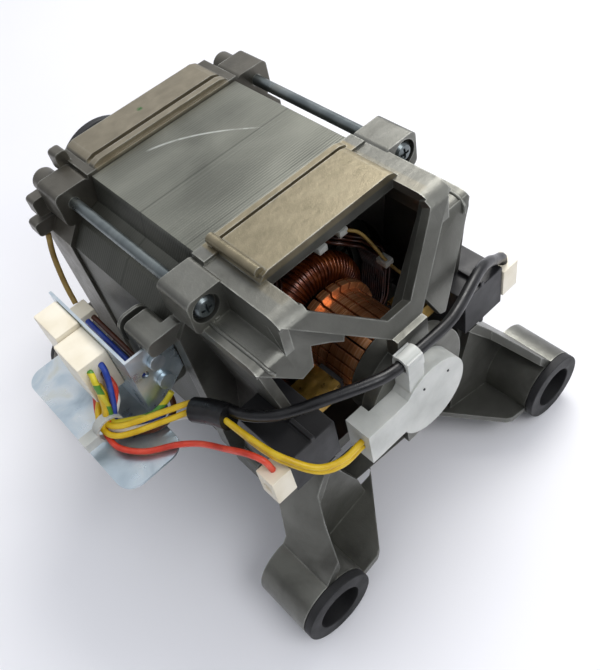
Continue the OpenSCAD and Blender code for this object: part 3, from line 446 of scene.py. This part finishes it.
def rounded_edges(bm, width):
    edges = [e for e in bm.edges if len(e.link_faces) == 2 and e.calc_face_angle(0) > ROUND_FROM]
    bmesh.ops.bevel(bm, geom=edges, offset=width * MM, segments=2, profile=0.5, affect="EDGES",
                    clamp_overlap=True)


def prism(low, high):
    """Closed solid between two outlines with as many points each."""
    bm = bmesh.new()
    ends = [[bm.verts.new(at(*q)) for q in outline] for outline in (low, high)]
    bm.faces.new(ends[0])
    bm.faces.new(reversed(ends[1]))
    for k in range(len(low)):
        n = (k + 1) % len(low)
        bm.faces.new((ends[0][k], ends[1][k], ends[1][n], ends[0][n]))
    bmesh.ops.recalc_face_normals(bm, faces=bm.faces)
    return bm


def along_x(outline, x0, x1):
    """Prism along X from points (y, z)."""
    return prism([(x0, y, z) for y, z in outline], [(x1, y, z) for y, z in outline])


def evaluated_mesh(obj):
    return bpy.data.meshes.new_from_object(obj.evaluated_get(bpy.context.evaluated_depsgraph_get()))


def carved(bm, cutters):
    """The form less the cutters."""
    mesh = bpy.data.meshes.new("carving")
    bm.to_mesh(mesh)
    bm.free()
    body = new_object("carving", mesh)
    used = [body]
    for cutter in cutters:
        tool_mesh = bpy.data.meshes.new("cutter")
        cutter.to_mesh(tool_mesh)
        cutter.free()
        used.append(new_object("cutter", tool_mesh))
        cut = body.modifiers.new("cut", "BOOLEAN")
        cut.operation = "DIFFERENCE"
        cut.solver = "EXACT"
        cut.object = used[-1]
    bpy.context.view_layer.update()
    solid = evaluated_mesh(body)
    for obj in used:
        bpy.data.objects.remove(obj)
    result = bmesh.new()
    result.from_mesh(solid)
    bmesh.ops.remove_doubles(result, verts=result.verts, dist=WELD * MM)
    return result


def smooth_line(points, steps=6):
    """Points on a smooth curve through the given ones."""
    p = [points[0] * 2 - points[1], *points, points[-1] * 2 - points[-2]]
    line = []
    for a, b, c, d in zip(p, p[1:], p[2:], p[3:]):
        for k in range(steps):
            t = k / steps
            line.append(0.5 * (2 * b + (c - a) * t + (2 * a - 5 * b + 4 * c - d) * t * t
                               + (3 * b - a - 3 * c + d) * t ** 3))
    return line + [points[-1]]


def tube(name, line, diameter, sides=3):
    curve = bpy.data.curves.new(name, "CURVE")
    curve.dimensions = "3D"
    curve.bevel_depth = diameter / 2
    curve.bevel_resolution = sides
    curve.use_fill_caps = True
    spline = curve.splines.new("POLY")
    spline.points.add(len(line) - 1)
    for spot, q in zip(spline.points, line):
        spot.co = (*q, 1)
    spline.use_smooth = True
    return new_object(name, curve)


# Wires

ROUTES = {
    "wire_yellow_a": [(-90, 105.5, 17.7), (-90.5, 105, 14), (-95.5, 100, 12.3), (-99, 95, 9.8),
                      (-95, 88, 10.5), (-79, 78.8, 11.8), (-70, 72, 13.9), (-67.6, 63, 15.2),
                      (-67, 54, 16.4), (-65, 35, 16.3), (-62.5, 25, 15.6), (-55.5, 16.5, 9.5),
                      (-46, 13.5, 6), (-35.2, 14, 5)],
    "wire_yellow_b": [(-93.4, 105.5, 17.7), (-93.8, 105, 14), (-99, 100, 11.6), (-101.5, 95, 8.4),
                      (-98, 87, 7.5), (-80, 77, 8.6), (-70.5, 70.5, 11), (-67.4, 63, 12),
                      (-66.2, 54, 13.4), (-64.8, 35, 13.2), (-62.3, 25, 12.6), (-55.3, 16.5, 6.5),
                      (-46, 13.5, 3), (-35.2, 14, 2)],
    "wire_white": [(-90, 110, 17.7), (-90.5, 109, 14), (-95.5, 102.5, 9), (-99, 95, 7), (-94, 88.5, 6),
                   (-87, 83.2, 5.5), (-79, 79, 5.8), (-72, 71.5, 7.3), (-69.8, 65, 9.6)],
    "wire_red": [(-93.4, 110, 17.7), (-93.8, 109, 14), (-99, 102.5, 8.2), (-101.4, 95, 5.6),
                 (-101.5, 86, 3.8), (-95, 77, 2.6), (-84, 69.5, 2.2), (-77.5, 62, 3), (-73.5, 50, 8),
                 (-70.3, 38, 14), (-68, 31, 14), (-66.8, 29, 8)],
    "wire_blue": [(-86.5, 110, 17.7), (-87, 109, 14), (-92, 102, 8), (-96.6, 95, 5.6), (-91, 90, 4),
                  (-85, 85.6, 2.6), (-79.5, 85.6, 2.5), (-76, 90, 2.5), (-74, 100, 2.5), (-73.5, 125, 3),
                  (-73.5, 153, 5)],
    "wire_brown": [(-90, 114.5, 17.7), (-90.5, 113, 14), (-95.5, 104.5, 6), (-99, 95, 4.2), (-93, 88.5, 2),
                   (-86, 83, 1.9), (-79, 82.3, 1.9), (-73.5, 86.5, 1.9), (-70.8, 98, 2), (-70.2, 125, 3),
                   (-70.2, 153, 5)],
    "wire_earth": [(-86.5, 105.5, 17.7), (-87, 105, 14), (-92, 99.5, 11.4), (-96.6, 95, 8.2),
                   (-91, 89.5, 8.2), (-84, 84.6, 8.8), (-77.5, 83.9, 10), (-72.5, 83.4, 13.4)],
    "wire_lead": [(-64, 176, 40), (-67, 176, 28), (-70, 171, 16), (-72, 164, 8)],
    "cable_black": [(-63.8, 60, 16.4), (-61, 48, 19), (-55.5, 36, 24.5), (-48.5, 28.5, 28.5),
                    (-41, 23.5, 30.5), (-24, 15.5, 30.5), (-15, 14, 29), (-7.5, 14, 28.5), (12, 14, 28),
                    (22, 15.5, 28), (42, 22, 27), (52, 25, 22.5), (60, 27.5, 15.5), (66, 29, 11),
                    (66.8, 29, 8)],
}
SLEEVE = [(-70.8, 71, 11), (-67.3, 63, 13.2), (-65, 54, 16)]
WIRE_D = 2.6 * MM
CABLE_D = 4.7 * MM
SLEEVE_D = 10.4 * MM

for node, route in ROUTES.items():
    line = smooth_line([at(*q) for q in route])
    diameter = CABLE_D if node == "cable_black" else WIRE_D
    wire = tube(node + "_run", line, diameter)
    finish_piece(wire, "frame", SLOT[node], node)

sleeve = tube("cable_sleeve_wrap", smooth_line([at(*q) for q in SLEEVE], 8), SLEEVE_D, 6)
finish_piece(sleeve, "frame", "black_sleeve", "cable_sleeve")


# Armature winding: a solid ring at each end of the rotor with a strand wound round it

WIND_R = 20              # middle of the ring, from the shaft
WIND_TURNS = 72
WIND_STEPS = 12          # points on one turn of the strand
WIND_WIRE_D = 1.25 * MM
RING_INSET = 0.4         # the ring's surface below the strand's middle
RING_SIDES = 20
RING_ROWS = 48
FRONT_WINDING = (79.9, 8.2, 7.1)     # middle along the motor, half height and half length of the turns
REAR_WINDING = (162.9, 8.3, 5.9)


def winding_line(mid_y, half_r, half_y):
    line = []
    points = WIND_TURNS * WIND_STEPS
    for i in range(points + 1):
        turn = 2 * math.pi * i / WIND_STEPS
        swing = 2 * math.pi * i / points * (1 - 1 / WIND_TURNS)
        r = WIND_R + half_r * math.cos(turn)
        line.append(at(r * math.cos(swing), mid_y + half_y * math.sin(turn), r * math.sin(swing)))
    return line


def winding_ring(mid_y, half_r, half_y):
    ring = bmesh.new()
    rows = []
    for k in range(RING_ROWS):
        swing = 2 * math.pi * k / RING_ROWS
        row = []
        for j in range(RING_SIDES):
            turn = 2 * math.pi * j / RING_SIDES
            r = WIND_R + (half_r - RING_INSET) * math.cos(turn)
            y = mid_y + (half_y - RING_INSET) * math.sin(turn)
            row.append(ring.verts.new(at(r * math.cos(swing), y, r * math.sin(swing))))
        rows.append(row)
    for row, after in zip(rows, rows[1:] + rows[:1]):
        for j in range(RING_SIDES):
            n = (j + 1) % RING_SIDES
            ring.faces.new((row[j], row[n], after[n], after[j]))
    bmesh.ops.recalc_face_normals(ring, faces=ring.faces)
    return ring


def end_winding(name, node, form):
    mesh_piece(name + "_core", winding_ring(*form), "rotor", "armature_winding")
    strand = tube(name, winding_line(*form), WIND_WIRE_D, 2)
    finish_piece(strand, "rotor", "armature_winding", node)


end_winding("armature_front_strand", "rotor_winding_front", FRONT_WINDING)
end_winding("armature_rear_strand", "rotor_winding_rear", REAR_WINDING)


# Field coils: flat rounded turns bent round the rotor, in layers

COIL_R = 36.6
COIL_WIDTH = 14
COIL_HALF_LEN = 38.2
COIL_HALF_ANGLE = math.radians(48)     # half the opening of the coil, round the rotor
COIL_EDGE = 2.2                        # from that opening to the first turn
COIL_HALF_ARC = COIL_HALF_ANGLE * COIL_R + COIL_EDGE
COIL_CORNER = 3
COIL_LAYERS = 3
COIL_LAYER_T = 2.0
COIL_INSET = 0.8         # the first layer's middle inside the coil's radius
COIL_TURNS = 11
COIL_STEPS = 32          # points on one turn
COIL_WIRE_D = 1.5 * MM


def race(t, a, b, c):
    """A point on a rounded rectangle of half sizes a and b with corners of radius c, t from 0 to 1."""
    signs = ((1, 1), (-1, 1), (-1, -1), (1, -1))

    def corner(k, deg):
        sx, sy = signs[k]
        angle = math.radians(deg)
        return Vector((sx * (a - c) + c * math.cos(angle), sy * (b - c) + c * math.sin(angle)))

    k = int(t * 4) % 4
    u = t * 4 - int(t * 4)
    if u < 0.5:
        return corner(k, 90 * k + 180 * u)
    after = (k + 1) % 4
    return corner(k, 90 * k + 90).lerp(corner(after, 90 * after), (u - 0.5) * 2)


def field_coil(side, name, node):
    line = []
    for layer in range(COIL_LAYERS):
        r = COIL_R - COIL_INSET + layer * COIL_LAYER_T
        for i in range(COIL_TURNS * COIL_STEPS):
            t = i / COIL_STEPS
            grow = COIL_WIDTH / COIL_TURNS * (t if layer % 2 == 0 else COIL_TURNS - t)
            q = race(t % 1, COIL_HALF_ARC + grow, COIL_HALF_LEN + grow, COIL_CORNER + grow)
            angle = q.x / COIL_R
            line.append(at(side * r * math.cos(angle), CORE_MID_Y + q.y, r * math.sin(angle)))
    finish_piece(tube(name, line, COIL_WIRE_D, 2), "frame", "field_winding", node)


for side, hand in HANDS:
    field_coil(side, "field_strand_" + hand, "field_coil_" + hand)


# Brush springs

SPRING_FROM = 43.8
SPRING_TO = 59.5
SPRING_R = 2.2
SPRING_TURNS = 6
SPRING_STEPS = 24        # points on one turn
SPRING_WIRE_D = 0.8 * MM

for side, hand in HANDS:
    line = []
    points = SPRING_TURNS * SPRING_STEPS
    for i in range(points + 1):
        turn = 2 * math.pi * i / SPRING_STEPS
        x = SPRING_FROM + (SPRING_TO - SPRING_FROM) * i / points
        line.append(at(side * x, BRUSH_Y + SPRING_R * math.cos(turn), SPRING_R * math.sin(turn)))
    bare = tube("brush_coil_" + hand, line, SPRING_WIRE_D, 2)
    solid = evaluated_mesh(bare)
    bpy.data.objects.remove(bare)
    coil = new_object("brush_coil_" + hand, solid)
    finish_piece(coil, "frame", "spring_steel", "brush_spring_" + hand)
    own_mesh(coil)


# Sloping front of the front shield: v runs up the slope, h runs into the motor

SLOPE_Y = 18
SLOPE_Z = 31
SLOPE_IN = 18            # how far the slope goes in
SLOPE_RISE = 34          # over this rise
LEAN = math.atan2(SLOPE_IN, SLOPE_RISE)
ARM_SINK = 0.4           # the arms' face below the slope
LEDGE_SINK = 9.2         # the ledges' face below the slope
LEDGE_T = 3.5
RAIL_X = 43
RAIL_Z = 65
RAIL_IN_X = 20
RAIL_BEND_R = 11
LEDGE_X = 56
LEDGE_Z = 50
LEDGE_BEND_R = 7
PLATE_Y = (35, 66.5)     # where the ledge plates stand above the ledges
PLATE_Z = (LEDGE_Z + 0.02, RAIL_Z - 2)
OUTER_X = (RAIL_X + 0.1, LEDGE_X + 2)
INNER_X = (RAIL_IN_X, RAIL_X + 0.6)
BEND_STEPS = 8
CUT_OVER = 3             # how far a bend's cutter stands off the faces
CUT_AHEAD = 4            # and how far ahead of the bend


def on_slope(v, h):
    return (SLOPE_Y + v * math.sin(LEAN) + h * math.cos(LEAN),
            SLOPE_Z + v * math.cos(LEAN) - h * math.sin(LEAN))


def bend_cutter(top_z, sink, radius, x0, x1, upside):
    """What lies outside a rounded bend between a level face and the slope."""
    v = (top_z - SLOPE_Z + sink * math.sin(LEAN)) / math.cos(LEAN)
    corner_y, _ = on_slope(v, sink)
    turn = math.pi / 2 - LEAN
    reach = radius * math.tan(turn / 2)
    arc = [math.pi / 2 + turn * k / BEND_STEPS for k in range(BEND_STEPS + 1)]
    outline = [(corner_y + reach + radius * math.cos(a), top_z - radius + radius * math.sin(a)) for a in arc]
    outline += [on_slope(v - reach, sink - CUT_OVER), (corner_y - CUT_AHEAD, top_z + CUT_OVER),
                (corner_y + reach, top_z + CUT_OVER)]
    return along_x([(y, upside * z) for y, z in outline], x0, x1)


def front_cutters():
    """Rounds the bends of rails and ledges and clears the ledge plates that stand above them."""
    cutters = []
    front, rear = PLATE_Y
    for upside in (1, -1):
        low, high = (upside * z for z in PLATE_Z)
        plate = [(front, low), (rear, low), (rear, high), (front, high)]
        for side in (1, -1):
            outer = sorted(side * x for x in OUTER_X)
            cutters.append(along_x(plate, *outer))
            cutters.append(bend_cutter(LEDGE_Z, LEDGE_SINK, LEDGE_BEND_R, *outer, upside))
            inner = sorted(side * x for x in INNER_X)
            cutters.append(bend_cutter(RAIL_Z, ARM_SINK, RAIL_BEND_R, *inner, upside))
    return cutters


# Rigid parts: the CAD forms with rounded edges

ROUNDING = {
    1.2: ("front_shield", "rear_shield"),
    1.1: ("tacho_cover",),
    1.0: ("cable_tie",),
    0.9: ("connector_front", "connector_rear"),
    0.8: ("terminal_left", "terminal_right"),
    0.6: ("foot_bush_front_left", "foot_bush_front_right", "foot_bush_rear_left", "foot_bush_rear_right"),
    0.5: ("brush_holder_left", "brush_holder_right", "lead_terminal"),
    0.4: ("connector_bracket",),
    0.3: ("bracket_screws",),
    0.25: ("commutator_bars",),
    0.2: ("tie_bolts", "stator_core", "pulley"),
}
EDGE = {node: width for width, members in ROUNDING.items() for node in members}
OWN_LOOK = {"tie_bolts": "bolt_zinc"}


def dressed(node):
    """Stands for a rigid CAD node: the same form with rounded edges."""
    bm = cleaned(node)
    if node == "front_shield":
        bm = carved(bm, front_cutters())
    if node in EDGE:
        rounded_edges(bm, EDGE[node])
    form = new_object(node + "_form", shaded_mesh(node + "_form", bm))
    finish_piece(form, BODY[node], SLOT[node], node, OWN_LOOK.get(node))
    if node in EDGE:
        form.modifiers.new("flat_faces", "WEIGHTED_NORMAL").keep_sharp = True


for node in nodes:
    if not nodes[node].hide_render:
        dressed(node)


# Two marks on the tacho cover and the strap over its cable

MARKS = ((8.8, 7.6), (-4.8, 9.8))
MARK_Y = 9.8
MARK_R = 0.6
STRAP_AT = (-7.5, 14, 28.5)
STRAP_IN_R = 2.6
STRAP_OUT_R = 4.0
STRAP_HALF_LEN = 4.2
STRAP_LEG = 3
STRAP_STEPS = 12

for k, (x, z) in enumerate(MARKS):
    dot = bmesh.new()
    bmesh.ops.create_uvsphere(dot, u_segments=16, v_segments=8, radius=MARK_R * MM)
    bmesh.ops.translate(dot, vec=at(x, MARK_Y, z), verts=dot.verts)
    mesh_piece(f"tacho_cover_dot_{k}", dot, "frame", "ferrite")


def half_ring(radius):
    angles = (math.pi * k / STRAP_STEPS for k in range(STRAP_STEPS + 1))
    arc = [(radius * math.cos(a), radius * math.sin(a)) for a in angles]
    return [(radius, -STRAP_LEG), *arc, (-radius, -STRAP_LEG)]


strap_x, strap_y, strap_z = STRAP_AT
strap_ring = half_ring(STRAP_OUT_R) + half_ring(STRAP_IN_R)[::-1]
strap = along_x([(strap_y + u, strap_z + v) for u, v in strap_ring],
                strap_x - STRAP_HALF_LEN, strap_x + STRAP_HALF_LEN)
mesh_piece("tacho_cable_strap", strap, "frame", "nylon_white")


# Ledge strip below the right arm and the ridges along both ledges

STRIP = [(30, 26), (56, 26), (55.6, 24), (54, 21.4), (23.5, -7.8), (20.5, -7), (14.5, 12.4)]
STRIP_LIFT = 0.05
STRIP_ROUNDING = 0.9
RIDGE_D = 1.7 * MM
RIDGE_LEVEL = ((52.2, 69), (52, 44))        # X and Y on the level ledge
RIDGE_SLOPE = ((51.5, 24), (50, 20.5))      # X and the way up the slope

strip = prism([(u, *on_slope(v, LEDGE_SINK - STRIP_LIFT)) for u, v in STRIP],
              [(u, *on_slope(v, LEDGE_SINK + LEDGE_T)) for u, v in STRIP])
rounded_edges(strip, STRIP_ROUNDING)
mesh_piece("front_ledge_strip", strip, "frame", "front_casting")
for side, hand in HANDS:
    ridge = [(side * x, y, LEDGE_Z) for x, y in RIDGE_LEVEL]
    ridge += [(side * x, *on_slope(v, LEDGE_SINK)) for x, v in RIDGE_SLOPE]
    bar = tube("front_ledge_ridge_" + hand, smooth_line([at(*q) for q in ridge]), RIDGE_D)
    finish_piece(bar, "frame", "front_casting")


# Varnished lead and the clips of the field winding behind the window

FIELD_LEAD = [(16, 76, 40), (18.8, 71, 39.4), (22.8, 68, 36.9), (25.8, 66, 31.1), (28.2, 64, 24.5),
              (30.1, 62, 18.7), (33, 59, 12), (35, 56, 8)]
CLIPS = {"field_clip_top": (17.4, 73, 39.4), "field_clip_mid": (4.2, 71, 41.5),
         "field_clip_side": (31, 63, 16.5)}
CLIP_SIZE = Vector((4.8, 6, 3.2)) * MM
CLIP_ROUNDING = 0.5

lead = tube("field_lead", smooth_line([at(*q) for q in FIELD_LEAD]), COIL_WIRE_D)
finish_piece(lead, "frame", "wire_lead")
for name, place in CLIPS.items():
    clip = bmesh.new()
    bmesh.ops.create_cube(clip, size=1.0)
    bmesh.ops.scale(clip, vec=CLIP_SIZE, verts=clip.verts)
    bmesh.ops.translate(clip, vec=at(*place), verts=clip.verts)
    rounded_edges(clip, CLIP_ROUNDING)
    mesh_piece(name, clip, "frame", "nylon_white")


# Wire tails from the front of the plug to the tie, by the X and Z where each one enters

MOUTH = {"wire_blue": (-87.4, 31), "wire_earth": (-92.6, 31.4), "wire_brown": (-88.4, 26.4),
         "wire_yellow_a": (-93, 27), "wire_red": (-87.6, 21.6), "wire_yellow_b": (-92.4, 22),
         "wire_white": (-88.6, 17.4)}
MOUTH_IN_Y = 104
MOUTH_OUT_Y = 100.8
TAIL_BEND_Y = 97.8
TAIL_OUT = 1.2
TAIL_DROP = 3.4
TAIL_SWAY = Vector((0.6, -0.4, 0))
SWAY_AT = 0.55           # where the tail sways, on the way from its bend to the tie
TIE_Y = 95

for node, (x, z) in MOUTH.items():
    end = Vector(next(q for q in ROUTES[node] if q[1] == TIE_Y))
    bend = Vector((x - TAIL_OUT, TAIL_BEND_Y, z - TAIL_DROP))
    tail = [Vector((x, MOUTH_IN_Y, z)), Vector((x, MOUTH_OUT_Y, z)), bend,
            bend.lerp(end, SWAY_AT) + TAIL_SWAY, end]
    stub = tube(node + "_tail", smooth_line([at(*q) for q in tail]), WIRE_D)
    finish_piece(stub, "frame", SLOT[node])


# Stage: floor, studio light and camera, in metres

FLOOR_SIZE = 30.0
WORLD_COLOUR = (0.93, 0.95, 1.0, 1)
WORLD_SIDE = Vector((0.45, 0.35, 0.82)).normalized()     # where the world is brightest
WORLD_FADE = {"From Min": -0.2, "To Min": 0.18, "To Max": 0.95}
LIT_POINT = Vector((-0.01, -0.14, -0.02))
LIGHTS = {
    "key": dict(place=(0.80, 0.15, 1.05), power=10.0, size=(0.7, 0.6), colour=(1.0, 0.98, 0.95)),
    "front_fill": dict(place=(0.15, -0.95, 0.85), power=4.5, size=(0.6, 0.5), colour=(0.97, 0.98, 1.0)),
    "side_fill": dict(place=(-0.9, 0.0, 0.7), power=0.5, size=(0.7, 0.7), colour=(0.95, 0.97, 1.0)),
}
SENSOR = 36                # mm along the longer side of the picture
FOCAL_PX = 759.1           # the photo's focal length in its pixels
PICTURE_PX = 670           # the photo's longer side
CAMERA_PLACE = (-0.1210, -0.3621, 0.2539)
CAMERA_RIGHT = Vector((0.722, -0.671, -0.169))
CAMERA_FORWARD = Vector((0.327, 0.546, -0.772))


def light(name, place, power, size, colour):
    lamp = bpy.data.lights.new(name, "AREA")
    lamp.energy = power
    lamp.shape = "RECTANGLE"
    lamp.size, lamp.size_y = size
    lamp.color = colour
    obj = new_object(name, lamp)
    obj.location = place
    obj.rotation_mode = "QUATERNION"
    obj.rotation_quaternion = (LIT_POINT - Vector(place)).to_track_quat("-Z", "Y")


floor_bm = bmesh.new()
bmesh.ops.create_grid(floor_bm, x_segments=1, y_segments=1, size=FLOOR_SIZE,
                      matrix=Matrix.Translation((0, 0, FLOOR_Z * MM)))
floor_mesh = bpy.data.meshes.new("floor")
floor_bm.to_mesh(floor_mesh)
floor_bm.free()
floor = new_object("floor", floor_mesh)
pale = Surface("floor")
floor_mesh.materials.append(pale.done(pale.ramp(pale.noise(3, 3.0), (0.3, 0.7), ("ededf2", "f4f4f7")), 0.55))

world = bpy.data.worlds.new("studio")
scene.world = world
world.use_nodes = True
sky = world.node_tree
background = sky.nodes["Background"]
background.inputs["Color"].default_value = WORLD_COLOUR
toward = sky.nodes.new("ShaderNodeVectorMath")
toward.operation = "DOT_PRODUCT"
toward.inputs[1].default_value = WORLD_SIDE
sky.links.new(sky.nodes.new("ShaderNodeTexCoord").outputs["Generated"], toward.inputs[0])
fade = sky.nodes.new("ShaderNodeMapRange")
for socket, number in WORLD_FADE.items():
    fade.inputs[socket].default_value = number
sky.links.new(toward.outputs["Value"], fade.inputs["Value"])
sky.links.new(fade.outputs[0], background.inputs["Strength"])

for name, lamp in LIGHTS.items():
    light(name, **lamp)

camera = bpy.data.cameras.new("camera")
camera.sensor_width = SENSOR
camera.lens = FOCAL_PX / PICTURE_PX * SENSOR
camera.clip_start, camera.clip_end = 0.02, 20
forward = CAMERA_FORWARD.normalized()
right = CAMERA_RIGHT.normalized()
right = (right - forward * right.dot(forward)).normalized()
turned = Matrix((right, right.cross(forward), -forward)).transposed().to_4x4()
camera_object = new_object("camera", camera)
camera_object.matrix_world = Matrix.Translation(CAMERA_PLACE) @ turned
scene.camera = camera_object
scene.view_settings.view_transform = "Standard"

bpy.context.view_layer.update()
